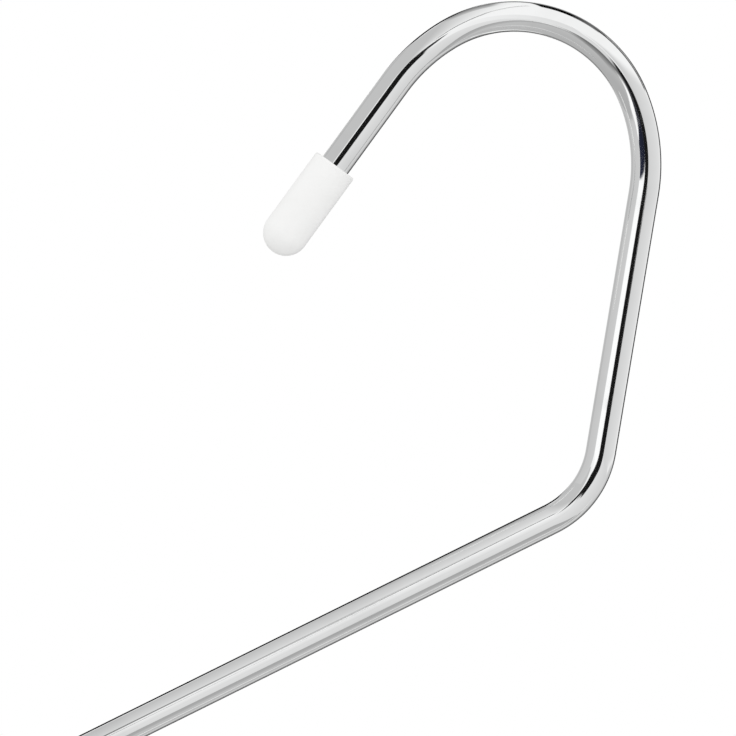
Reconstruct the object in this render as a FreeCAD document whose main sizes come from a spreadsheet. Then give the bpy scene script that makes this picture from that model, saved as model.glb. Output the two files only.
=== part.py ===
import FreeCAD, Part
import math
import os
import Sketcher
from FreeCAD import Placement, Rotation, Vector

# Open-ended trouser hanger: one bent steel rod, two vinyl caps and a non-slip sleeve on the bar.
# The origin is the centre of the hook's crown, where a rail passes along Y.
# +X follows the trouser bar to its open end and +Z is up. The rod's centreline lies in the XZ plane.

# Driving sizes, in millimetres and degrees
SIZES = {
    "rod_diameter": 6.0,  # round bar, plating included
    "rod_end_chamfer": 0.6,  # broken corner at both cut ends
    "crown_radius": 25.0,  # top of the hook, to the rod's centreline
    "shoulder_radius": 35.0,  # easier arcs that lead into and out of the crown
    "neck_shoulder_turn": 31.8,
    "tip_shoulder_turn": 23.0,
    "neck_lean": 9.43,  # from upright, top towards the open end
    "neck_length": 51.0,  # straight run between the shoulder and the neck bend
    "tip_flare": 36.1,  # from upright, end away from the neck
    "tip_bare_length": 19.9,  # straight run that shows between the shoulder and the cap
    "neck_bend_radius": 18.0,
    "arm_slope": 26.34,  # below level
    "end_bend_radius": 18.0,
    "closed_reach": 178.0,  # from the crown's centre to the outside of the end bend
    "open_reach": 178.0,  # from the crown's centre to the outer end of the bar's cap
    "cap_diameter": 9.0,
    "cap_length": 20.8,
    "cap_end_wall": 3.0,  # vinyl beyond the end of the rod
    "cap_mouth_chamfer": 0.4,
    "sleeve_diameter": 9.0,
    "sleeve_setback": 7.0,  # bare bar between the end bend and the sleeve
    "sleeve_rim_chamfer": 0.4,
    "fit_clearance": 0.05,  # between the rod and the bores that slip over it
}

# Runs of the rod's centreline, in order from the bar's open end to the hook's tip
BAR, END_BEND, ARM, NECK_BEND, NECK, NECK_SHOULDER, CROWN, TIP_SHOULDER, TIP = range(9)
# Ends of a sketched run, and its centre
START, FINISH, CENTRE = 1, 2, 3
# The sketch's own origin, as a geometry number and a point of it
SKETCH_ORIGIN = (-1, 1)
QUARTER_TURN = 90.0
HALF_TURN = 180.0

# Expressions that more than one piece uses
ROD_RADIUS = "Sizes.rod_diameter / 2"
BORE_RADIUS = "Sizes.rod_diameter / 2 + Sizes.fit_clearance"
BEND_CENTRE_REACH = "Sizes.closed_reach - Sizes.rod_diameter / 2 - Sizes.end_bend_radius"
ROD_END_REACH = "Sizes.open_reach - Sizes.cap_end_wall"
CAP_GRIP = "Sizes.cap_length - Sizes.cap_end_wall"


def make_sheet(doc):
    sheet = doc.addObject("Spreadsheet::Sheet", "Sizes")
    for row, (alias, value) in enumerate(SIZES.items(), start=1):
        sheet.set(f"A{row}", alias)
        sheet.set(f"B{row}", str(value))
        sheet.setAlias(f"B{row}", alias)
    doc.recompute()
    return sheet


def make_body(doc, label):
    body = doc.addObject("PartDesign::Body", label)
    body.Label = label
    return body


def make_sketch(body, name, plane_role):
    sketch = body.newObject("Sketcher::SketchObject", name)
    planes = [feature for feature in body.Origin.OriginFeatures if feature.Role == plane_role]
    sketch.AttachmentSupport = (planes[0], [""])
    sketch.MapMode = "FlatFace"
    return sketch


def bind(sketch, name, expression, *constraint):
    """Add a named constraint and tie it to the sheet."""
    index = sketch.addConstraint(Sketcher.Constraint(*constraint))
    sketch.renameConstraint(index, name)
    sketch.setExpression(f"Constraints.{name}", expression)


def refer(sketch, name, *constraint):
    """Add a named measure that other pieces take their place from."""
    index = sketch.addConstraint(Sketcher.Constraint(*constraint))
    sketch.setDriving(index, False)
    sketch.renameConstraint(index, name)


def along(heading):
    return Vector(math.cos(math.radians(heading)), math.sin(math.radians(heading)), 0)


def right_of(heading):
    return Vector(math.sin(math.radians(heading)), -math.cos(math.radians(heading)), 0)


def left_turn(centre, radius, first_heading, last_heading):
    """Arc that turns left as the rod runs from one heading to another."""
    first_angle = math.radians(first_heading - QUARTER_TURN)
    last_angle = math.radians(last_heading - QUARTER_TURN)
    return Part.ArcOfCircle(Part.Circle(centre, Vector(0, 0, 1), radius), first_angle, last_angle)


def rod_runs(sheet):
    """The nine runs of the centreline, as the sizes place them."""
    neck_heading = QUARTER_TURN - sheet.neck_lean
    tip_heading = HALF_TURN + QUARTER_TURN - sheet.tip_flare
    crown_first = neck_heading + sheet.neck_shoulder_turn
    crown_last = tip_heading - sheet.tip_shoulder_turn
    easing = sheet.crown_radius - sheet.shoulder_radius
    crown_centre = Vector(0, 0, 0)
    neck_shoulder_centre = crown_centre + right_of(crown_first) * easing
    tip_shoulder_centre = crown_centre + right_of(crown_last) * easing

    neck_top = neck_shoulder_centre + right_of(neck_heading) * sheet.shoulder_radius
    neck_foot = neck_top - along(neck_heading) * sheet.neck_length
    neck_bend_centre = neck_foot - right_of(neck_heading) * sheet.neck_bend_radius
    arm_top = neck_bend_centre + right_of(sheet.arm_slope) * sheet.neck_bend_radius

    bend_centre_x = -(sheet.closed_reach - sheet.rod_diameter / 2 - sheet.end_bend_radius)
    arm_foot_x = bend_centre_x - right_of(sheet.arm_slope).x * sheet.end_bend_radius
    arm_length = (arm_top.x - arm_foot_x) / along(sheet.arm_slope).x
    arm_foot = arm_top - along(sheet.arm_slope) * arm_length
    end_bend_centre = arm_foot + right_of(sheet.arm_slope) * sheet.end_bend_radius
    bar_start = end_bend_centre - Vector(0, sheet.end_bend_radius, 0)
    bar_end = Vector(sheet.open_reach - sheet.cap_end_wall, bar_start.y, 0)

    tip_start = tip_shoulder_centre + right_of(tip_heading) * sheet.shoulder_radius
    tip_length = sheet.tip_bare_length + sheet.cap_length - sheet.cap_end_wall
    tip_end = tip_start + along(tip_heading) * tip_length

    end_bend_circle = Part.Circle(end_bend_centre, Vector(0, 0, 1), sheet.end_bend_radius)
    end_bend_first = math.radians(sheet.arm_slope + QUARTER_TURN)
    end_bend_last = math.radians(HALF_TURN + QUARTER_TURN)
    return [
        Part.LineSegment(bar_end, bar_start),
        Part.ArcOfCircle(end_bend_circle, end_bend_first, end_bend_last),
        Part.LineSegment(arm_foot, arm_top),
        left_turn(neck_bend_centre, sheet.neck_bend_radius, sheet.arm_slope, neck_heading),
        Part.LineSegment(neck_foot, neck_top),
        left_turn(neck_shoulder_centre, sheet.shoulder_radius, neck_heading, crown_first),
        left_turn(crown_centre, sheet.crown_radius, crown_first, crown_last),
        left_turn(tip_shoulder_centre, sheet.shoulder_radius, crown_last, tip_heading),
        Part.LineSegment(tip_start, tip_end),
    ]


def make_rod_path(body, sheet):
    path = make_sketch(body, "RodPath", "XZ_Plane")
    runs = rod_runs(sheet)
    path.addGeometry(runs, False)

    # The end bend is drawn from the arm round to the bar, every other run towards the hook
    path.addConstraint(Sketcher.Constraint("Tangent", BAR, FINISH, END_BEND, FINISH))
    path.addConstraint(Sketcher.Constraint("Tangent", END_BEND, START, ARM, START))
    for run in range(ARM, TIP):
        path.addConstraint(Sketcher.Constraint("Tangent", run, FINISH, run + 1, START))
    path.addConstraint(Sketcher.Constraint("Coincident", CROWN, CENTRE, *SKETCH_ORIGIN))
    path.addConstraint(Sketcher.Constraint("Horizontal", BAR))

    radii = {
        END_BEND: "end_bend_radius",
        NECK_BEND: "neck_bend_radius",
        NECK_SHOULDER: "shoulder_radius",
        CROWN: "crown_radius",
        TIP_SHOULDER: "shoulder_radius",
    }
    for run, size in radii.items():
        bind(path, f"run_{run}_radius", f"Sizes.{size}", "Radius", run, runs[run].Radius)

    headings = {
        ARM: (sheet.arm_slope, "Sizes.arm_slope"),
        NECK: (QUARTER_TURN - sheet.neck_lean, f"{QUARTER_TURN} - Sizes.neck_lean"),
        TIP: (-QUARTER_TURN - sheet.tip_flare, f"-{QUARTER_TURN} - Sizes.tip_flare"),
        NECK_SHOULDER: (sheet.neck_shoulder_turn, "Sizes.neck_shoulder_turn"),
        TIP_SHOULDER: (sheet.tip_shoulder_turn, "Sizes.tip_shoulder_turn"),
    }
    for run, (angle, expression) in headings.items():
        bind(path, f"run_{run}_angle", expression, "Angle", run, math.radians(angle))

    tip_length = f"Sizes.tip_bare_length + {CAP_GRIP}"
    bind(path, "neck_length", "Sizes.neck_length", "Distance", NECK, runs[NECK].length())
    bind(path, "tip_length", tip_length, "Distance", TIP, runs[TIP].length())
    bend_centre_x = runs[END_BEND].Center.x
    bar_end = runs[BAR].StartPoint
    tip_end = runs[TIP].EndPoint
    bind(path, "bend_centre_reach", BEND_CENTRE_REACH,
         "DistanceX", END_BEND, CENTRE, *SKETCH_ORIGIN, -bend_centre_x)
    bind(path, "rod_end_reach", ROD_END_REACH, "DistanceX", *SKETCH_ORIGIN, BAR, START, bar_end.x)
    refer(path, "bar_level", "DistanceY", *SKETCH_ORIGIN, BAR, START, bar_end.y)
    refer(path, "tip_end_x", "DistanceX", *SKETCH_ORIGIN, TIP, FINISH, tip_end.x)
    refer(path, "tip_end_z", "DistanceY", *SKETCH_ORIGIN, TIP, FINISH, tip_end.y)
    return path


def circle_edges(shape, wanted):
    """Names of the circular edges that a test picks by their centre and radius."""
    names = []
    for number, edge in enumerate(shape.Edges, start=1):
        # The dome's pole is an edge with no curve
        if edge.Degenerated:
            continue
        if isinstance(edge.Curve, Part.Circle) and wanted(edge.Curve):
            names.append(f"Edge{number}")
    return names


def make_rod(doc, sheet):
    body = make_body(doc, "hanger_rod")
    path = make_rod_path(body, sheet)
    doc.recompute()

    section = make_sketch(body, "RodSection", "YZ_Plane")
    section.setExpression("AttachmentOffset.Base.y", "RodPath.Constraints.bar_level")
    section.setExpression("AttachmentOffset.Base.z", ROD_END_REACH)
    section.addGeometry(Part.Circle(Vector(0, 0, 0), Vector(0, 0, 1), sheet.rod_diameter / 2), False)
    section.addConstraint(Sketcher.Constraint("Coincident", 0, CENTRE, *SKETCH_ORIGIN))
    bind(section, "radius", ROD_RADIUS, "Radius", 0, sheet.rod_diameter / 2)
    doc.recompute()

    rod = body.newObject("PartDesign::AdditivePipe", "BentRod")
    rod.Profile = section
    rod.Spine = (path, [])
    doc.recompute()

    bar_end, *_, tip_end = [vertex.Point for vertex in path.Shape.Vertexes]

    def at_cut_end(circle):
        to_bar_end = circle.Center.distanceToPoint(bar_end)
        to_tip_end = circle.Center.distanceToPoint(tip_end)
        return min(to_bar_end, to_tip_end) < sheet.rod_diameter / 2

    corners = body.newObject("PartDesign::Chamfer", "RodEndCorners")
    corners.Base = (rod, circle_edges(rod.Shape, at_cut_end))
    corners.setExpression("Size", "Sizes.rod_end_chamfer")
    doc.recompute()
    return body


def make_cap(doc, sheet, label):
    """Push-on cap that stands on the rod's end, with its closed end towards local +Z."""
    body = make_body(doc, label)
    profile = make_sketch(body, f"{label}_profile", "XZ_Plane")
    radius = sheet.cap_diameter / 2
    bore = sheet.rod_diameter / 2 + sheet.fit_clearance
    grip = sheet.cap_length - sheet.cap_end_wall
    dome_level = sheet.cap_end_wall - radius
    corners = [
        Vector(0, sheet.cap_end_wall, 0),
        Vector(0, 0, 0),
        Vector(bore, 0, 0),
        Vector(bore, -grip, 0),
        Vector(radius, -grip, 0),
        Vector(radius, dome_level, 0),
    ]
    lines = [Part.LineSegment(first, second) for first, second in zip(corners, corners[1:])]
    dome_circle = Part.Circle(Vector(0, dome_level, 0), Vector(0, 0, 1), radius)
    dome = Part.ArcOfCircle(dome_circle, 0, math.radians(QUARTER_TURN))
    profile.addGeometry(lines + [dome], False)
    axis_line, seat_line, bore_line, mouth_line, side_line, dome_arc = range(6)

    for first in range(axis_line, side_line):
        profile.addConstraint(Sketcher.Constraint("Coincident", first, FINISH, first + 1, START))
    profile.addConstraint(Sketcher.Constraint("Tangent", side_line, FINISH, dome_arc, START))
    profile.addConstraint(Sketcher.Constraint("Coincident", dome_arc, FINISH, axis_line, START))
    profile.addConstraint(Sketcher.Constraint("Coincident", axis_line, FINISH, *SKETCH_ORIGIN))
    for upright in (axis_line, bore_line, side_line):
        profile.addConstraint(Sketcher.Constraint("Vertical", upright))
    for level in (seat_line, mouth_line):
        profile.addConstraint(Sketcher.Constraint("Horizontal", level))
    bind(profile, "end_wall", "Sizes.cap_end_wall", "Distance", axis_line, sheet.cap_end_wall)
    bind(profile, "bore_radius", BORE_RADIUS, "Distance", seat_line, bore)
    bind(profile, "grip", CAP_GRIP, "Distance", bore_line, grip)
    bind(profile, "dome_radius", "Sizes.cap_diameter / 2", "Radius", dome_arc, radius)
    bind(profile, "cap_radius", "Sizes.cap_diameter / 2",
         "DistanceX", *SKETCH_ORIGIN, side_line, START, radius)
    doc.recompute()

    turned = body.newObject("PartDesign::Revolution", f"{label}_turned")
    turned.Profile = profile
    turned.ReferenceAxis = (profile, ["V_Axis"])
    doc.recompute()

    def at_outer_mouth(circle):
        return circle.Center.z < -grip / 2 and circle.Radius > (bore + radius) / 2

    mouth = body.newObject("PartDesign::Chamfer", f"{label}_mouth")
    mouth.Base = (turned, circle_edges(turned.Shape, at_outer_mouth))
    mouth.setExpression("Size", "Sizes.cap_mouth_chamfer")
    doc.recompute()
    return body


def make_hook_tip_cap(doc, sheet):
    cap = make_cap(doc, sheet, "hook_tip_cap")
    cap.Placement = Placement(Vector(0, 0, 0), Rotation(Vector(0, -1, 0), HALF_TURN - sheet.tip_flare))
    cap.setExpression("Placement.Base.x", "RodPath.Constraints.tip_end_x")
    cap.setExpression("Placement.Base.z", "RodPath.Constraints.tip_end_z")
    cap.setExpression("Placement.Rotation.Angle", f"{HALF_TURN} - Sizes.tip_flare")
    doc.recompute()
    return cap


def make_bar_end_cap(doc, sheet):
    cap = make_cap(doc, sheet, "bar_end_cap")
    cap.Placement = Placement(Vector(0, 0, 0), Rotation(Vector(0, 1, 0), QUARTER_TURN))
    cap.setExpression("Placement.Base.x", ROD_END_REACH)
    cap.setExpression("Placement.Base.z", "RodPath.Constraints.bar_level")
    doc.recompute()
    return cap


def make_bar_sleeve(doc, sheet):
    """Non-slip tube from near the end bend to the mouth of the bar's cap."""
    body = make_body(doc, "bar_sleeve")
    ring = make_sketch(body, "SleeveSection", "YZ_Plane")
    outer = sheet.sleeve_diameter / 2
    bore = sheet.rod_diameter / 2 + sheet.fit_clearance
    sections = {
        "outer_radius": (outer, "Sizes.sleeve_diameter / 2"),
        "bore_radius": (bore, BORE_RADIUS),
    }
    for circle, (name, (radius, expression)) in enumerate(sections.items()):
        ring.addGeometry(Part.Circle(Vector(0, 0, 0), Vector(0, 0, 1), radius), False)
        ring.addConstraint(Sketcher.Constraint("Coincident", circle, CENTRE, *SKETCH_ORIGIN))
        bind(ring, name, expression, "Radius", circle, radius)
    doc.recompute()

    sleeve_start = f"Sizes.sleeve_setback - ({BEND_CENTRE_REACH})"
    sleeve_end = "Sizes.open_reach - Sizes.cap_length"
    tube = body.newObject("PartDesign::Pad", "SleeveTube")
    tube.Profile = ring
    tube.setExpression("Length", f"{sleeve_end} - ({sleeve_start})")
    doc.recompute()

    rims = body.newObject("PartDesign::Chamfer", "SleeveRims")
    rims.Base = (tube, circle_edges(tube.Shape, lambda circle: circle.Radius > (bore + outer) / 2))
    rims.setExpression("Size", "Sizes.sleeve_rim_chamfer")
    body.setExpression("Placement.Base.x", sleeve_start)
    body.setExpression("Placement.Base.z", "RodPath.Constraints.bar_level")
    doc.recompute()
    return body


def check_document(doc, sub_parts):
    for item in doc.Objects:
        if "Invalid" in item.State or "Error" in item.State:
            raise RuntimeError(f"{item.Label} did not build: {item.State}")
    for sub_part in sub_parts:
        if sub_part.Shape.isNull() or not sub_part.Shape.isValid():
            raise RuntimeError(f"{sub_part.Label} has no valid solid")
        if len(sub_part.Shape.Solids) != 1:
            raise RuntimeError(f"{sub_part.Label} is not one solid")


def main():
    doc = FreeCAD.newDocument("TrouserHanger")
    sheet = make_sheet(doc)
    sub_parts = [
        make_rod(doc, sheet),
        make_hook_tip_cap(doc, sheet),
        make_bar_end_cap(doc, sheet),
        make_bar_sleeve(doc, sheet),
    ]
    doc.recompute()
    check_document(doc, sub_parts)

    os.makedirs("parts", exist_ok=True)
    for sub_part in sub_parts:
        box = sub_part.Shape.optimalBoundingBox()
        print(f"{sub_part.Label}: volume {sub_part.Shape.Volume:.1f} mm3,",
              f"x {box.XMin:.2f} to {box.XMax:.2f}, z {box.ZMin:.2f} to {box.ZMax:.2f}")
        sub_part.Shape.exportStep(f"parts/{sub_part.Label}.step")


main()
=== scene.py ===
import math

import bmesh
import bpy
from mathutils import Matrix, Vector


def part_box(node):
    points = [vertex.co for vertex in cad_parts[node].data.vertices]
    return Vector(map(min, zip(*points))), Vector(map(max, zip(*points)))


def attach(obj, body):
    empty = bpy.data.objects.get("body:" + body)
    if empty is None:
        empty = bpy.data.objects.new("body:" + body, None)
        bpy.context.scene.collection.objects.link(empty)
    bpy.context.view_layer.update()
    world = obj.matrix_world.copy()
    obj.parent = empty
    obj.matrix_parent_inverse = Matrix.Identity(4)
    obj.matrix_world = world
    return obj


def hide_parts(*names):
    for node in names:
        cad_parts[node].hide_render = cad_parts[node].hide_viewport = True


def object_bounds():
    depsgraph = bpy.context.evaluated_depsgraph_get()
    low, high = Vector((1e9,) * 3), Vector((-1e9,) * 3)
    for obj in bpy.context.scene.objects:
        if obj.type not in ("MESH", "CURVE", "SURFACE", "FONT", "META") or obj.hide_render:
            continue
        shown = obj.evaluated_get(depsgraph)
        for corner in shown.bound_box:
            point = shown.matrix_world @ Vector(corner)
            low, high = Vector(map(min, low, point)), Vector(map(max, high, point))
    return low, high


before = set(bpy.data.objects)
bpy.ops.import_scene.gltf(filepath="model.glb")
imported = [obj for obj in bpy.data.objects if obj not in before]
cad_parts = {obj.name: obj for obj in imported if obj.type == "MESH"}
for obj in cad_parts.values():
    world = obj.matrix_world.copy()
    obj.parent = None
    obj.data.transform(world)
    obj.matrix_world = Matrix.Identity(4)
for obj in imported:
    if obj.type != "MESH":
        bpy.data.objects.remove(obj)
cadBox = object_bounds()
scene = bpy.context.scene
scene.view_settings.view_transform = "Standard"
mm = 0.001


# Camera, square-on to the hook with a long lens
shot = {
    "pictureSide": 143.53 * mm,  # side of the square that the picture takes in
    "aim": (-28.49 * mm, 0.0, -43.57 * mm),
    "distance": 3.0,
    "sensor": 36.0,
}


def addCamera():
    lens = bpy.data.cameras.new("hookCamera")
    lens.sensor_width = shot["sensor"]
    lens.lens = shot["sensor"] * shot["distance"] / shot["pictureSide"]
    camera = bpy.data.objects.new("hookCamera", lens)
    camera.location = Vector(shot["aim"]) - Vector((0, shot["distance"], 0))
    camera.rotation_euler = (math.radians(90), 0, 0)
    scene.collection.objects.link(camera)
    scene.camera = camera


addCamera()
print("camera set")


# Small node helpers
def addNode(tree, kind, values=None, **settings):
    node = tree.nodes.new(kind)
    for setting, value in settings.items():
        setattr(node, setting, value)
    for socket, value in (values or {}).items():
        node.inputs[socket].default_value = value
    return node


# Terms are numbers, or sockets of other nodes
def addMath(tree, operation, *terms):
    node = tree.nodes.new("ShaderNodeMath")
    node.operation = operation
    for socket, term in zip(node.inputs, terms):
        if isinstance(term, (int, float)):
            socket.default_value = term
        else:
            tree.links.new(term, socket)
    return node.outputs["Value"]


def addRange(tree, value, given, wanted, smooth=False):
    node = tree.nodes.new("ShaderNodeMapRange")
    node.interpolation_type = "SMOOTHSTEP" if smooth else "LINEAR"
    tree.links.new(value, node.inputs["Value"])
    for socket, number in zip(("From Min", "From Max", "To Min", "To Max"), (*given, *wanted)):
        node.inputs[socket].default_value = number
    return node.outputs["Result"]


def newMaterial(name):
    material = bpy.data.materials.new(name)
    material.use_nodes = True
    material.node_tree.nodes.clear()
    return material, material.node_tree


def newGroup(name, inputs, outputs):
    group = bpy.data.node_groups.new(name, "ShaderNodeTree")
    for label, kind, value in inputs:
        socket = group.interface.new_socket(label, in_out="INPUT", socket_type=kind)
        if value is not None:
            socket.default_value = value
    for label, kind in outputs:
        group.interface.new_socket(label, in_out="OUTPUT", socket_type=kind)
    return group, group.nodes.new("NodeGroupInput"), group.nodes.new("NodeGroupOutput")


def placeGroup(tree, group, place, **values):
    node = tree.nodes.new("ShaderNodeGroup")
    node.node_tree = group
    tree.links.new(place, node.inputs["Place"])
    for socket, value in values.items():
        node.inputs[socket].default_value = value
    return node


# Soft mottling of a given grain size, about a middle of 0.5
mottleNoise = {"Detail": 3.0, "Roughness": 0.55}


def makeMottle():
    inputs = [
        ("Place", "NodeSocketVector", None),
        ("Grain", "NodeSocketFloat", 1 * mm),
        ("Contrast", "NodeSocketFloat", 1.0),
    ]
    group, given, made = newGroup("softMottle", inputs, [("Mask", "NodeSocketFloat")])
    noise = addNode(group, "ShaderNodeTexNoise", mottleNoise)
    group.links.new(given.outputs["Place"], noise.inputs["Vector"])
    group.links.new(addMath(group, "DIVIDE", 1.0, given.outputs["Grain"]), noise.inputs["Scale"])
    centred = addMath(group, "SUBTRACT", noise.outputs["Fac"], 0.5)
    spread = addMath(group, "MULTIPLY", centred, given.outputs["Contrast"])
    group.links.new(addMath(group, "MULTIPLY_ADD", spread, 2.0, 0.5), made.inputs["Mask"])
    return group


# Faint marks of handling: cloudy smudges and sparse hairlines
handlingLook = {
    "smudgeNoise": {"Detail": 4.0, "Roughness": 0.6, "Distortion": 0.6},
    "smudgeLevels": (0.5, 0.75),  # noise at which a smudge starts, and is full
    "hairNoise": {"Detail": 2.0, "Roughness": 0.5},
    "hairLevels": (0.7, 0.78),
    "hairStretch": (0.06, 1.0, 1.0),  # drawn out along the piece
    "hairSlant": (0.0, 0.0, 0.12),
}


def makeHandling():
    inputs = [
        ("Place", "NodeSocketVector", None),
        ("Smudge", "NodeSocketFloat", 12 * mm),
        ("Hairline", "NodeSocketFloat", 0.4 * mm),
    ]
    outputs = [("Smudges", "NodeSocketFloat"), ("Hairlines", "NodeSocketFloat")]
    group, given, made = newGroup("handlingMarks", inputs, outputs)

    cloud = addNode(group, "ShaderNodeTexNoise", handlingLook["smudgeNoise"])
    group.links.new(given.outputs["Place"], cloud.inputs["Vector"])
    group.links.new(addMath(group, "DIVIDE", 1.0, given.outputs["Smudge"]), cloud.inputs["Scale"])
    smudges = addRange(group, cloud.outputs["Fac"], handlingLook["smudgeLevels"], (0.0, 1.0), smooth=True)
    group.links.new(smudges, made.inputs["Smudges"])

    stretch = addNode(group, "ShaderNodeMapping", {
        "Scale": handlingLook["hairStretch"],
        "Rotation": handlingLook["hairSlant"],
    })
    group.links.new(given.outputs["Place"], stretch.inputs["Vector"])
    hair = addNode(group, "ShaderNodeTexNoise", handlingLook["hairNoise"])
    group.links.new(stretch.outputs["Vector"], hair.inputs["Vector"])
    group.links.new(addMath(group, "DIVIDE", 1.0, given.outputs["Hairline"]), hair.inputs["Scale"])
    hairlines = addRange(group, hair.outputs["Fac"], handlingLook["hairLevels"], (0.0, 1.0), smooth=True)
    group.links.new(hairlines, made.inputs["Hairlines"])
    return group


mottle = makeMottle()
handling = makeHandling()


# Bright chrome plate
chrome = {
    "colour": (0.9, 0.905, 0.905, 1.0),
    "dullColour": (0.86, 0.865, 0.865, 1.0),  # under a smudge
    "roughness": 0.045,
    "smudge": 14 * mm,
    "smudgeRoughness": 0.05,
    "hairline": 0.35 * mm,
    "hairlineRoughness": 0.06,
    "plateWave": 2.2 * mm,  # size of the slow waves in the plate
    "plateWaveHigh": 0.0012 * mm,
    "railWearRoughness": 0.07,
    "railWearReach": 9 * mm,  # about the top of the crown's inside
}


def makeChrome():
    material, tree = newMaterial("brightChromePlate")
    alongRod = addNode(tree, "ShaderNodeAttribute", attribute_name="rodPlace").outputs["Vector"]
    marks = placeGroup(tree, handling, alongRod, Smudge=chrome["smudge"], Hairline=chrome["hairline"])
    waves = placeGroup(tree, mottle, alongRod, Grain=chrome["plateWave"])

    # The rail rubs the inside of the crown
    spot = addNode(tree, "ShaderNodeVectorMath", operation="DISTANCE")
    tree.links.new(addNode(tree, "ShaderNodeTexCoord").outputs["Object"], spot.inputs[0])
    spot.inputs[1].default_value = (0, 0, rod["crownRadius"] - rod["diameter"] / 2)
    wear = addRange(tree, spot.outputs["Value"], (0.0, chrome["railWearReach"]), (1.0, 0.0), smooth=True)

    smudged = addMath(tree, "MULTIPLY", marks.outputs["Smudges"], chrome["smudgeRoughness"])
    scratched = addMath(tree, "MULTIPLY", marks.outputs["Hairlines"], chrome["hairlineRoughness"])
    rubbed = addMath(tree, "MULTIPLY", wear, chrome["railWearRoughness"])
    marked = addMath(tree, "ADD", addMath(tree, "ADD", smudged, scratched), rubbed)

    colour = addNode(tree, "ShaderNodeMix", data_type="RGBA")
    colour.inputs["A"].default_value = chrome["colour"]
    colour.inputs["B"].default_value = chrome["dullColour"]
    tree.links.new(marks.outputs["Smudges"], colour.inputs["Factor"])

    bump = addNode(tree, "ShaderNodeBump", {"Strength": 1.0, "Distance": chrome["plateWaveHigh"]})
    tree.links.new(waves.outputs["Mask"], bump.inputs["Height"])

    shader = addNode(tree, "ShaderNodeBsdfPrincipled", {"Metallic": 1.0})
    tree.links.new(colour.outputs["Result"], shader.inputs["Base Color"])
    tree.links.new(addMath(tree, "ADD", marked, chrome["roughness"]), shader.inputs["Roughness"])
    tree.links.new(bump.outputs["Normal"], shader.inputs["Normal"])
    output = addNode(tree, "ShaderNodeOutputMaterial")
    tree.links.new(shader.outputs["BSDF"], output.inputs["Surface"])
    return material


# Soft white vinyl, satin where it was moulded and flatter where it was extruded
vinyl = {
    "colour": (0.94, 0.94, 0.935, 1.0),
    "shadeColour": (0.91, 0.91, 0.9, 1.0),  # in the darker clouds
    "cloud": 6 * mm,
    "cloudContrast": 0.8,
    "skin": 0.45 * mm,
    "skinHigh": 0.002 * mm,
    "skinRoughness": 0.08,  # added on the high spots
    "smudge": 9 * mm,
    "smudgeGloss": 0.08,  # taken off the roughness where it was handled
    "refraction": 1.5,
    "moulded": {"roughness": 0.42, "grainStretch": (1.0, 1.0, 1.0)},
    "extruded": {"roughness": 0.55, "grainStretch": (0.15, 1.0, 1.0)},  # drawn out along the bar
}


def makeVinyl(name, finish):
    material, tree = newMaterial(name)
    place = addNode(tree, "ShaderNodeTexCoord").outputs["Object"]
    stretch = addNode(tree, "ShaderNodeMapping", {"Scale": finish["grainStretch"]})
    tree.links.new(place, stretch.inputs["Vector"])
    clouds = placeGroup(tree, mottle, place, Grain=vinyl["cloud"], Contrast=vinyl["cloudContrast"])
    skin = placeGroup(tree, mottle, stretch.outputs["Vector"], Grain=vinyl["skin"])
    marks = placeGroup(tree, handling, place, Smudge=vinyl["smudge"])

    colour = addNode(tree, "ShaderNodeMix", data_type="RGBA")
    colour.inputs["A"].default_value = vinyl["colour"]
    colour.inputs["B"].default_value = vinyl["shadeColour"]
    tree.links.new(clouds.outputs["Mask"], colour.inputs["Factor"])
    polished = addMath(tree, "MULTIPLY", marks.outputs["Smudges"], vinyl["smudgeGloss"])
    uneven = addMath(tree, "MULTIPLY_ADD", skin.outputs["Mask"], vinyl["skinRoughness"], finish["roughness"])

    bump = addNode(tree, "ShaderNodeBump", {"Strength": 1.0, "Distance": vinyl["skinHigh"]})
    tree.links.new(skin.outputs["Mask"], bump.inputs["Height"])
    shader = addNode(tree, "ShaderNodeBsdfPrincipled", {"IOR": vinyl["refraction"]})
    tree.links.new(colour.outputs["Result"], shader.inputs["Base Color"])
    tree.links.new(addMath(tree, "SUBTRACT", uneven, polished), shader.inputs["Roughness"])
    tree.links.new(bump.outputs["Normal"], shader.inputs["Normal"])
    output = addNode(tree, "ShaderNodeOutputMaterial")
    tree.links.new(shader.outputs["BSDF"], output.inputs["Surface"])
    return material


mergeWithin = 0.001 * mm


# Closes a mesh, turns its faces outwards and makes a piece that rides on the hanger
def finishPiece(bm, name, material, node, sharpFrom):
    bmesh.ops.remove_doubles(bm, verts=bm.verts, dist=mergeWithin)
    bmesh.ops.recalc_face_normals(bm, faces=bm.faces)
    for face in bm.faces:
        face.smooth = True
    for edge in bm.edges:
        edge.smooth = edge.calc_face_angle(0.0) < math.radians(sharpFrom)
    mesh = bpy.data.meshes.new(name)
    bm.to_mesh(mesh)
    bm.free()
    mesh.materials.append(material)
    piece = bpy.data.objects.new(name, mesh)
    scene.collection.objects.link(piece)
    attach(piece, "root")
    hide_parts(node)
    print(name, "has", len(mesh.polygons), "faces")


# The bent rod: bar, end bend, arm, neck bend, neck, hook. Turns and slopes are in degrees.
rod = {
    "diameter": 6.0 * mm,
    "endChamfer": 0.6 * mm,
    "crownRadius": 25.0 * mm,
    "shoulderRadius": 35.0 * mm,
    "neckShoulderTurn": 31.8,
    "tipShoulderTurn": 23.0,
    "neckLean": 9.43,
    "neckLength": 51.0 * mm,
    "tipFlare": 36.1,
    "tipBareLength": 19.9 * mm,
    "neckBendRadius": 18.0 * mm,
    "armSlope": 26.34,
    "endBendRadius": 18.0 * mm,
    "sides": 96,
    "ringStep": 6.0 * mm,  # between rings on a straight run
    "turnStep": 2.0,  # between rings in a bend
    "sharpFrom": 30,  # an edge with a wider angle than this isn't smoothed
}


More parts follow.
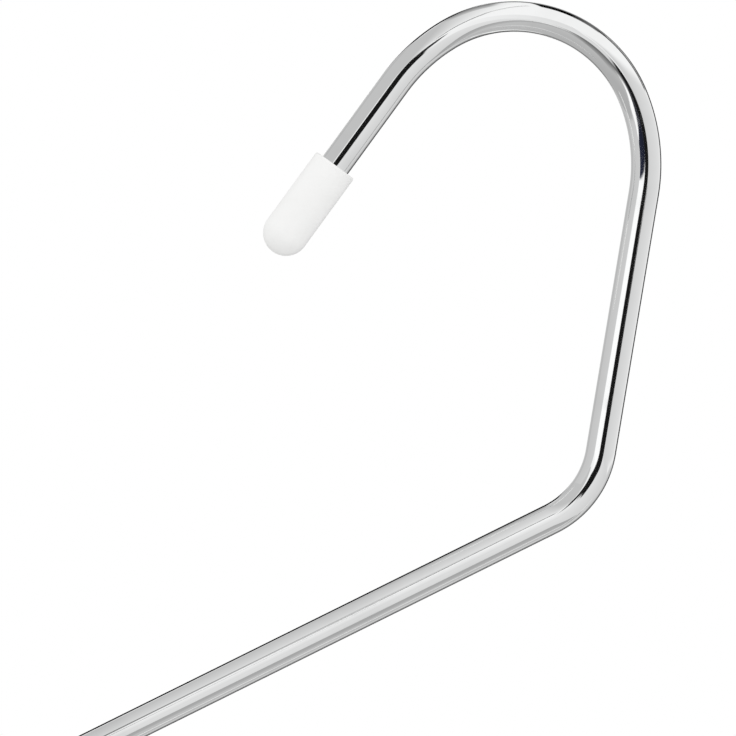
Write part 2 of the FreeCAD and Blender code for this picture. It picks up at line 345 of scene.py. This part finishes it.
# Headings are in degrees in the XZ plane, from +X towards +Z
def towards(heading):
    return Vector((math.cos(math.radians(heading)), 0, math.sin(math.radians(heading))))


def leftOf(heading):
    return towards(heading + 90)


# Writes where each point of a new ring lies: along the rod, and across it in two directions
def markRing(bm, pen):
    layer = bm.verts.layers.float_vector["rodPlace"]
    side = leftOf(pen["heading"])
    for vert in {vert for edge in pen["edges"] for vert in edge.verts}:
        across = vert.co - pen["at"]
        vert[layer] = (pen["run"], across.dot(side), across.y)


def pushRing(bm, pen, length, widen=1.0):
    grown = bmesh.ops.extrude_edge_only(bm, edges=pen["edges"])["geom"]
    ring = [item for item in grown if isinstance(item, bmesh.types.BMVert)]
    step = towards(pen["heading"]) * length
    bmesh.ops.translate(bm, verts=ring, vec=step)
    pen["at"] = pen["at"] + step
    pen["run"] += length
    bmesh.ops.scale(bm, verts=ring, vec=(widen, widen, widen), space=Matrix.Translation(-pen["at"]))
    pen["edges"] = [item for item in grown if isinstance(item, bmesh.types.BMEdge)
                    and all(vert in ring for vert in item.verts)]
    markRing(bm, pen)


def runStraight(bm, pen, length):
    steps = math.ceil(length / rod["ringStep"])
    for _ in range(steps):
        pushRing(bm, pen, length / steps)


# Left turns are positive; the rod turns about a line along Y
def runBend(bm, pen, radius, turn):
    side = math.copysign(1.0, turn)
    centre = pen["at"] + leftOf(pen["heading"]) * radius * side
    steps = math.ceil(abs(turn) / rod["turnStep"])
    for _ in range(steps):
        step = math.radians(turn / steps)
        spun = bmesh.ops.spin(bm, geom=pen["edges"], cent=centre, axis=(0, -1, 0), angle=step, steps=1)
        pen["edges"] = [item for item in spun["geom_last"] if isinstance(item, bmesh.types.BMEdge)]
        pen["at"] = centre + Matrix.Rotation(-step, 3, "Y") @ (pen["at"] - centre)
        pen["heading"] += turn / steps
        pen["run"] += radius * abs(step)
        markRing(bm, pen)
    return centre


def makeRod(material):
    low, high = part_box("hanger_rod")
    radius = rod["diameter"] / 2
    narrow = (radius - rod["endChamfer"]) / radius
    crownTurn = (180 + rod["neckLean"] - rod["tipFlare"]
                 - rod["neckShoulderTurn"] - rod["tipShoulderTurn"])
    neckTurn = 90 - rod["neckLean"] - rod["armSlope"]

    # Drawn from the hook's tip, which points up into the hook, and moved to its place at the end
    bm = bmesh.new()
    bm.verts.layers.float_vector.new("rodPlace")
    start = 90 - rod["tipFlare"]
    turned = Matrix.Rotation(math.radians(90 - start), 4, "Y")
    disc = bmesh.ops.create_circle(bm, cap_ends=True, segments=rod["sides"], radius=radius * narrow,
                                   matrix=turned)
    edges = {edge for vert in disc["verts"] for edge in vert.link_edges}
    pen = {"at": Vector((0, 0, 0)), "heading": start, "run": 0.0, "edges": list(edges)}
    markRing(bm, pen)
    pushRing(bm, pen, rod["endChamfer"], 1 / narrow)
    runStraight(bm, pen, rod["tipBareLength"] + cap["length"] - cap["endWall"] - rod["endChamfer"])
    runBend(bm, pen, rod["shoulderRadius"], -rod["tipShoulderTurn"])
    crown = runBend(bm, pen, rod["crownRadius"], -crownTurn)
    runBend(bm, pen, rod["shoulderRadius"], -rod["neckShoulderTurn"])
    runStraight(bm, pen, rod["neckLength"])
    runBend(bm, pen, rod["neckBendRadius"], -neckTurn)

    # The arm and the bar reach to the ends of the box that the rod fills
    slope = math.radians(rod["armSlope"])
    bendCentre = low.x + radius + rod["endBendRadius"]
    armFoot = bendCentre - math.sin(slope) * rod["endBendRadius"]
    runStraight(bm, pen, (pen["at"].x - crown.x - armFoot) / math.cos(slope))
    runBend(bm, pen, rod["endBendRadius"], 180 - rod["armSlope"])
    runStraight(bm, pen, high.x - bendCentre - rod["endChamfer"])
    pushRing(bm, pen, rod["endChamfer"], narrow)
    bmesh.ops.contextual_create(bm, geom=pen["edges"])
    bmesh.ops.translate(bm, verts=bm.verts, vec=-crown)
    finishPiece(bm, "chromeRod", material, "hanger_rod", rod["sharpFrom"])


# Push-on cap for the hook's tip and for the bar's open end
cap = {
    "diameter": 9.0 * mm,
    "length": 20.8 * mm,
    "endWall": 3.0 * mm,
    "mouthRound": 0.4 * mm,
    "mouthSteps": 5,
    "slip": 0.05 * mm,  # between the rod and a bore, the sleeve's too
    "sides": 96,
    "domeSteps": 16,
    "sharpFrom": 40,
}


# Stands on the rod's end, with the closed end towards +Z, and is then laid in its place
def makeCap(name, material, node, place):
    outer = cap["diameter"] / 2
    bore = rod["diameter"] / 2 + cap["slip"]
    grip = cap["length"] - cap["endWall"]
    domeLevel = cap["endWall"] - outer
    bm = bmesh.new()
    corners = [(0, 0), (bore, 0), (bore, -grip), (outer, -grip), (outer, domeLevel)]
    points = [bm.verts.new((x, 0, z)) for x, z in corners]
    for first, second in zip(points, points[1:]):
        bm.edges.new((first, second))
    bmesh.ops.spin(bm, geom=[points[-1]], cent=(0, 0, domeLevel), axis=(0, -1, 0),
                   angle=math.radians(90), steps=cap["domeSteps"])
    bmesh.ops.bevel(bm, geom=[points[3]], offset=cap["mouthRound"], segments=cap["mouthSteps"],
                    profile=0.5, affect="VERTICES", material=-1)
    bmesh.ops.spin(bm, geom=bm.verts[:] + bm.edges[:], cent=(0, 0, 0), axis=(0, 0, 1),
                   angle=math.radians(360), steps=cap["sides"], use_merge=True)
    bmesh.ops.transform(bm, matrix=place, verts=bm.verts)
    finishPiece(bm, name, material, node, cap["sharpFrom"])


# Where the cap's rod end lies, worked back from the box that the cap fills
def hookTipPlace():
    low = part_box("hook_tip_cap")[0]
    heading = 270 - rod["tipFlare"]
    domeBack = towards(heading) * (cap["endWall"] - cap["diameter"] / 2)
    domeCentre = Vector((low.x, 0, low.z)) + Vector((1, 0, 1)) * cap["diameter"] / 2
    turn = Matrix.Rotation(math.radians(90 - heading), 4, "Y")
    return Matrix.Translation(domeCentre - domeBack) @ turn


def barEndPlace():
    low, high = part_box("bar_end_cap")
    level = (low.z + high.z) / 2
    turn = Matrix.Rotation(math.radians(90), 4, "Y")
    return Matrix.Translation((high.x - cap["endWall"], 0, level)) @ turn


# Non-slip tube on the trouser bar, as long and as thick as its box
sleeve = {
    "rimRound": 0.4 * mm,
    "rimSteps": 4,
    "sides": 96,
    "sharpFrom": 40,
}


def makeSleeve(material):
    low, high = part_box("bar_sleeve")
    level = (low.z + high.z) / 2
    outer = (high.z - low.z) / 2
    bore = rod["diameter"] / 2 + cap["slip"]
    bm = bmesh.new()
    corners = [(low.x, bore), (low.x, outer), (high.x, outer), (high.x, bore)]
    points = [bm.verts.new((x, 0, z)) for x, z in corners]
    for first, second in zip(points, points[1:] + points[:1]):
        bm.edges.new((first, second))
    bmesh.ops.bevel(bm, geom=points[1:3], offset=sleeve["rimRound"], segments=sleeve["rimSteps"],
                    profile=0.5, affect="VERTICES", material=-1)
    bmesh.ops.spin(bm, geom=bm.verts[:] + bm.edges[:], cent=(0, 0, 0), axis=(1, 0, 0),
                   angle=math.radians(360), steps=sleeve["sides"], use_merge=True)
    bmesh.ops.translate(bm, verts=bm.verts, vec=(0, 0, level))
    finishPiece(bm, "barSleeve", material, "bar_sleeve", sleeve["sharpFrom"])


chromePlate = makeChrome()
makeRod(chromePlate)
mouldedVinyl = makeVinyl("mouldedWhiteVinyl", vinyl["moulded"])
makeCap("hookTipCap", mouldedVinyl, "hook_tip_cap", hookTipPlace())
makeCap("barEndCap", mouldedVinyl, "bar_end_cap", barEndPlace())
extrudedVinyl = makeVinyl("extrudedWhiteVinyl", vinyl["extruded"])
makeSleeve(extrudedVinyl)
print("pieces made")


# Pale floor under the bar, which fades into the white round it
floor = {
    "radius": 2.5,
    "fade": (0.35, 0.88),  # solid within the first, gone beyond the second
    "colour": (0.8, 0.8, 0.8, 1.0),
    "roughness": 0.7,
    "sides": 128,
}


def addFloor():
    material, tree = newMaterial("paleFloor")
    place = addNode(tree, "ShaderNodeTexCoord").outputs["Object"]
    reach = addNode(tree, "ShaderNodeVectorMath", operation="LENGTH")
    tree.links.new(place, reach.inputs[0])
    fade = addRange(tree, reach.outputs["Value"], floor["fade"], (0.0, 1.0), smooth=True)
    paint = addNode(tree, "ShaderNodeBsdfPrincipled", {
        "Base Color": floor["colour"],
        "Roughness": floor["roughness"],
    })
    blend = addNode(tree, "ShaderNodeMixShader")
    tree.links.new(fade, blend.inputs["Fac"])
    tree.links.new(paint.outputs["BSDF"], blend.inputs[1])
    tree.links.new(addNode(tree, "ShaderNodeBsdfTransparent").outputs["BSDF"], blend.inputs[2])
    output = addNode(tree, "ShaderNodeOutputMaterial")
    tree.links.new(blend.outputs["Shader"], output.inputs["Surface"])

    bm = bmesh.new()
    bmesh.ops.create_circle(bm, cap_ends=True, segments=floor["sides"], radius=floor["radius"])
    mesh = bpy.data.meshes.new("floor")
    bm.to_mesh(mesh)
    bm.free()
    mesh.materials.append(material)
    ground = bpy.data.objects.new("floor", mesh)
    ground.location = (0, 0, cadBox[0].z)
    ground.visible_glossy = False  # the cards below are what the chrome mirrors
    scene.collection.objects.link(ground)


# White surroundings for the lens and for reflections, softer light on everything else
light = {
    "ambient": 0.98,
    "keyPower": 3.0,
    "keySide": 1.2,
    "keyFrom": (0.4, -1.9, 1.0),
}


def addLight():
    world = bpy.data.worlds.new("whiteStudio")
    scene.world = world
    world.use_nodes = True
    tree = world.node_tree
    tree.nodes.clear()
    path = addNode(tree, "ShaderNodeLightPath")
    seen = addMath(tree, "MAXIMUM", path.outputs["Is Camera Ray"], path.outputs["Is Glossy Ray"])
    seen = addMath(tree, "MAXIMUM", seen, path.outputs["Is Transmission Ray"])
    backdrop = addNode(tree, "ShaderNodeBackground", {"Color": (1, 1, 1, 1)})
    tree.links.new(addRange(tree, seen, (0.0, 1.0), (light["ambient"], 1.0)), backdrop.inputs["Strength"])
    output = addNode(tree, "ShaderNodeOutputWorld")
    tree.links.new(backdrop.outputs["Background"], output.inputs["Surface"])

    key = bpy.data.lights.new("keySoftbox", "AREA")
    key.energy = light["keyPower"]
    key.size = light["keySide"]
    lamp = bpy.data.objects.new("keySoftbox", key)
    lamp.location = light["keyFrom"]
    lamp.rotation_euler = (Vector(shot["aim"]) - lamp.location).to_track_quat("-Z", "Y").to_euler()
    lamp.visible_glossy = False
    scene.collection.objects.link(lamp)


addFloor()
addLight()
print("floor and light set")


# Cards that the chrome mirrors, which the lens and the shadows don't see. A tone of 1 is white.
white = (1.0, 1.0, 1.0, 1.0)
navy = (0.45, 0.52, 1.0, 1.0)
standing = Matrix.Rotation(math.radians(90), 4, "X")  # turns a flat card upright, to face the lens


# Tones run along one axis of the card over a span of it, and its edges fade out
def cardPaint(name, size, soft, tones, axis, span, tint=white):
    material, tree = newMaterial(name)
    material.cycles.emission_sampling = "NONE"  # a card is mirrored, and lights nothing
    place = addNode(tree, "ShaderNodeSeparateXYZ")
    tree.links.new(addNode(tree, "ShaderNodeTexCoord").outputs["Object"], place.inputs["Vector"])
    masks = []
    for across, side in zip("XY", size):
        fromMiddle = addMath(tree, "ABSOLUTE", place.outputs[across])
        masks.append(addRange(tree, fromMiddle, (side / 2 - soft, side / 2), (1.0, 0.0), smooth=True))
    glow = addNode(tree, "ShaderNodeEmission", {"Color": tint})
    tree.links.new(addRange(tree, place.outputs[axis], span, tones), glow.inputs["Strength"])
    blend = addNode(tree, "ShaderNodeMixShader")
    tree.links.new(addMath(tree, "MULTIPLY", *masks), blend.inputs["Fac"])
    tree.links.new(addNode(tree, "ShaderNodeBsdfTransparent").outputs["BSDF"], blend.inputs[1])
    tree.links.new(glow.outputs["Emission"], blend.inputs[2])
    output = addNode(tree, "ShaderNodeOutputMaterial")
    tree.links.new(blend.outputs["Shader"], output.inputs["Surface"])
    return material


def hangMesh(bm, name, material, matrix):
    mesh = bpy.data.meshes.new(name)
    bm.to_mesh(mesh)
    bm.free()
    mesh.materials.append(material)
    card = bpy.data.objects.new(name, mesh)
    card.matrix_world = matrix
    card.visible_camera = False
    card.visible_diffuse = False
    card.visible_shadow = False
    scene.collection.objects.link(card)


def hangCard(name, size, soft, matrix, tones, axis="Y", ramp=(0.0, 1.0), tint=white):
    side = size["XY".index(axis)]
    span = [(share - 0.5) * side for share in ramp]
    bm = bmesh.new()
    bmesh.ops.create_grid(bm, x_segments=1, y_segments=1, size=0.5)
    bmesh.ops.scale(bm, verts=bm.verts, vec=(*size, 1))
    hangMesh(bm, name, cardPaint(name, size, soft, tones, axis, span, tint), matrix)


# Clock runs round the lens axis from +X towards +Z, and ring is the angle away from the lens, in degrees
def aimAt(clock, ring):
    sideways = towards(clock) * math.sin(math.radians(ring))
    return sideways - Vector((0, 1, 0)) * math.cos(math.radians(ring))


# Turns a card's face to the hook, with its own Y along a given line
def faceHook(at, along):
    across = along.cross(-at).normalized()
    return Matrix.Translation(at) @ Matrix((across, along, across.cross(along))).transposed().to_4x4()


# Panels and flags all round. Spread is round the clock, then outwards, in degrees. Tones run outwards,
# or round the clock where turned is set, over the whole card or over the shares of it that ramp gives.
panels = {
    "leftWall": {
        "clock": 180, "ring": 92, "far": 3.8, "spread": (110, 92),
        "tones": (0.66, 0.58), "soft": 0.3,
    },
    "lowerLeftPanel": {
        "clock": 232, "ring": 80, "far": 20, "spread": (60, 110),
        "tones": (0.56, 0.36), "soft": 1.8,
    },
    "rightPanel": {
        "clock": 6, "ring": 68, "far": 20, "spread": (60, 116),
        "tones": (0.65, 0.86), "soft": 5.2,
    },
    "lowerRightPanel": {
        "clock": -46, "ring": 64, "far": 20, "spread": (60, 112),
        "tones": (0.84, 0.64), "soft": 1.2,
    },
    "leftSoftbox": {
        "clock": 184, "ring": 28.5, "far": 18, "spread": (22, 37),
        "tones": (1.1, 1.1), "soft": 0.5,
    },
    "lensBody": {
        "clock": 0, "ring": 5.2, "far": 13, "spread": (13, 24.1),
        "tones": (0.01, 0.01), "soft": 0.4,
    },
    "lowerWedge": {
        "clock": 227, "ring": 29, "far": 2.0, "spread": (18, 50),
        "tones": (0.06, 0.5), "soft": 0.22,
    },
    "backFlag": {
        "clock": 66, "ring": 119.5, "far": 2.6, "spread": (27, 36),
        "tones": (0.3, 0.0), "turned": True, "ramp": (0.0, 0.5), "soft": 0.06,
    },
    "rightBackPanel": {
        "clock": -27, "ring": 118, "far": 2.7, "spread": (24, 44),
        "tones": (0.78, 0.5), "soft": 0.3,
    },
    "leftBackPanel": {
        "clock": 165, "ring": 138, "far": 2.7, "spread": (60, 44),
        "tones": (0.5, 0.6), "soft": 0.2,
    },
    "upperBackPanel": {
        "clock": 107, "ring": 114, "far": 2.5, "spread": (24, 44),
        "tones": (0.62, 0.2), "soft": 0.25,
    },
    "upperBackFlag": {
        "clock": 121, "ring": 151, "far": 2.6, "spread": (14, 42),
        "tones": (0.0, 0.0), "soft": 0.08,
    },
    "lowerBackFlag": {
        "clock": -52, "ring": 146, "far": 2.6, "spread": (40, 52),
        "tones": (0.5, 0.0), "ramp": (0.0, 0.7), "soft": 0.08,
    },
    "rightBackFlag": {
        "clock": 8, "ring": 148, "far": 2.6, "spread": (36, 30),
        "tones": (0.08, 0.08), "soft": 0.1,
    },
}


def hangPanels():
    for name, card in panels.items():
        at = aimAt(card["clock"], card["ring"]) * card["far"]
        outwards = aimAt(card["clock"], card["ring"] + 90)
        size = tuple(2 * card["far"] * math.tan(math.radians(angle / 2)) for angle in card["spread"])
        axis = "X" if card.get("turned") else "Y"
        ramp = card.get("ramp", (0.0, 1.0))
        hangCard(name, size, card["soft"], faceHook(at, outwards), card["tones"], axis, ramp)


# Flat cards above and below, each with an edge that runs away from the lens. Tones run up to that edge,
# over the reach beside it.
flats = {
    "ceiling": {
        "edgeAt": (-0.535, -3.15, 2.6), "turn": 7.9, "deep": 6.0, "front": -6.0, "back": 5.0,
        "tones": (0.58, 0.98), "reach": 1.5, "soft": 0.05,
    },
    "table": {
        "edgeAt": (0.51, -0.71, -1.0), "turn": 26, "deep": 4.0, "front": -3.5, "back": 1.0,
        "tones": (0.46, 0.58), "reach": 2.0, "soft": 0.05,
    },
    "tableLip": {
        "edgeAt": (0.51, -0.71, -0.99), "turn": 26, "deep": 0.32, "front": -3.5, "back": 1.0,
        "tones": (0.48, 0.38), "reach": 0.3, "soft": 0.05,
    },
}


def hangFlats():
    for name, card in flats.items():
        edge = Matrix.Translation(card["edgeAt"]) @ Matrix.Rotation(-math.radians(card["turn"]), 4, "Z")
        middle = Matrix.Translation((-card["deep"] / 2, (card["front"] + card["back"]) / 2, 0))
        size = (card["deep"], card["back"] - card["front"])
        ramp = (1.0 - card["reach"] / card["deep"], 1.0)
        hangCard(name, size, card["soft"], edge @ middle, card["tones"], "X", ramp)


# Straight strips between two places that are given as clock, ring and distance. Tones run from end to end.
strips = {
    "lensGap": {
        "ends": ((177.5, 46.9, 16), (-13.8, 23, 16)), "wide": 1.7,
        "tones": (0.055, 0.0), "tint": navy,
    },
    "lensGapLow": {
        "ends": ((181.7, 47, 16), (-62, 4, 16)), "wide": 2.15,
        "tones": (0.055, 0.0), "tint": navy,
    },
    "lensStrap": {"ends": ((144, 21, 15), (-36, 12, 15)), "wide": 2.5, "tones": (0.01, 0.01)},
    "ceilingSeam": {"ends": ((122, 19, 3.0), (100, 50, 3.0)), "wide": 0.1, "tones": (0.04, 0.5)},
    "ceilingSeamBack": {"ends": ((100, 50, 2.4), (83.5, 93, 2.4)), "wide": 0.08, "tones": (0.5, 0.6)},
    "backFlagTail": {"ends": ((56, 117, 2.6), (22, 121, 2.6)), "wide": 0.8, "tones": (0.0, 0.22)},
}
stripSoftShare = 0.125  # of a strip's width


def hangStrips():
    for name, card in strips.items():
        first, last = [aimAt(clock, ring) * far for clock, ring, far in card["ends"]]
        size = (card["wide"], (last - first).length)
        place = faceHook((first + last) / 2, (last - first).normalized())
        soft = card["wide"] * stripSoftShare
        hangCard(name, size, soft, place, card["tones"], tint=card.get("tint", white))


# Slim cards close by, seen only in the chrome, which paint reflections: they keep the lens gap off the arm
# and off the top of the crown, and paint a reflected line along the arm, fading from black at its left end.
# Tones run to the right, or upwards where upright is set.
bounces = {
    "armBounce": {
        "at": (-0.0563, -0.03, -0.1067), "turn": 26.1, "size": (0.1565, 0.0165),
        "tones": (0.76, 0.96), "upright": True, "soft": 0.0012,
    },
    # painted reflection: a line along the arm, black at its left end, seen only in the chrome
    "armReflectedLine": {
        "at": (-0.0536, -0.03, -0.0857), "turn": 26.2, "size": (0.118, 0.0062),
        "tones": (0.0, 0.85), "soft": 0.0012,
    },
    "bendBounce": {
        "at": (0.0137, -0.031, -0.0725), "turn": 43, "size": (0.0062, 0.0095),
        "tones": (0.8, 0.8), "soft": 0.0012,
    },
    "crownBounce": {
        "at": (0.001, -0.03, 0.0235), "turn": 0, "size": (0.032, 0.016),
        "tones": (1.0, 0.78), "soft": 0.0012,
    },
    "crownBounceEnd": {
        "at": (0.0154, -0.031, 0.0197), "turn": -38, "size": (0.013, 0.0145),
        "tones": (0.78, 0.72), "soft": 0.003,
    },
    "crownBounceTip": {
        "at": (-0.0122, -0.031, 0.0167), "turn": 34, "size": (0.0068, 0.008),
        "tones": (0.84, 0.92), "soft": 0.0012,
    },
}


def hangBounces():
    for name, card in bounces.items():
        turn = Matrix.Rotation(math.radians(card["turn"]), 4, "Z")
        place = Matrix.Translation(card["at"]) @ standing @ turn
        axis = "Y" if card.get("upright") else "X"
        hangCard(name, card["size"], card["soft"], place, card["tones"], axis)


# Darker ring round the white behind the hanger, which draws the rod's edges
surround = {
    "inner": 1.2,
    "outer": 3.2,
    "behind": 2.8,
    "tone": 0.24,
    "sides": 96,
}


def hangSurround():
    bm = bmesh.new()
    circle = bmesh.ops.create_circle(bm, segments=surround["sides"], radius=surround["inner"])
    edges = list({edge for vert in circle["verts"] for edge in vert.link_edges})
    grown = bmesh.ops.extrude_edge_only(bm, edges=edges)["geom"]
    rim = [item for item in grown if isinstance(item, bmesh.types.BMVert)]
    bmesh.ops.scale(bm, verts=rim, vec=Vector((1, 1, 1)) * surround["outer"] / surround["inner"])

    # One tone all over, on paint that only fades out past the ring
    side = 3 * surround["outer"]
    soft = side / 2 - surround["outer"]
    tones = (surround["tone"], surround["tone"])
    paint = cardPaint("darkSurround", (side, side), soft, tones, "Y", (-side / 2, side / 2))
    hangMesh(bm, "darkSurround", paint, Matrix.Translation((0, surround["behind"], 0)) @ standing)


hangPanels()
hangFlats()
hangStrips()
hangBounces()
hangSurround()
print("stage set")
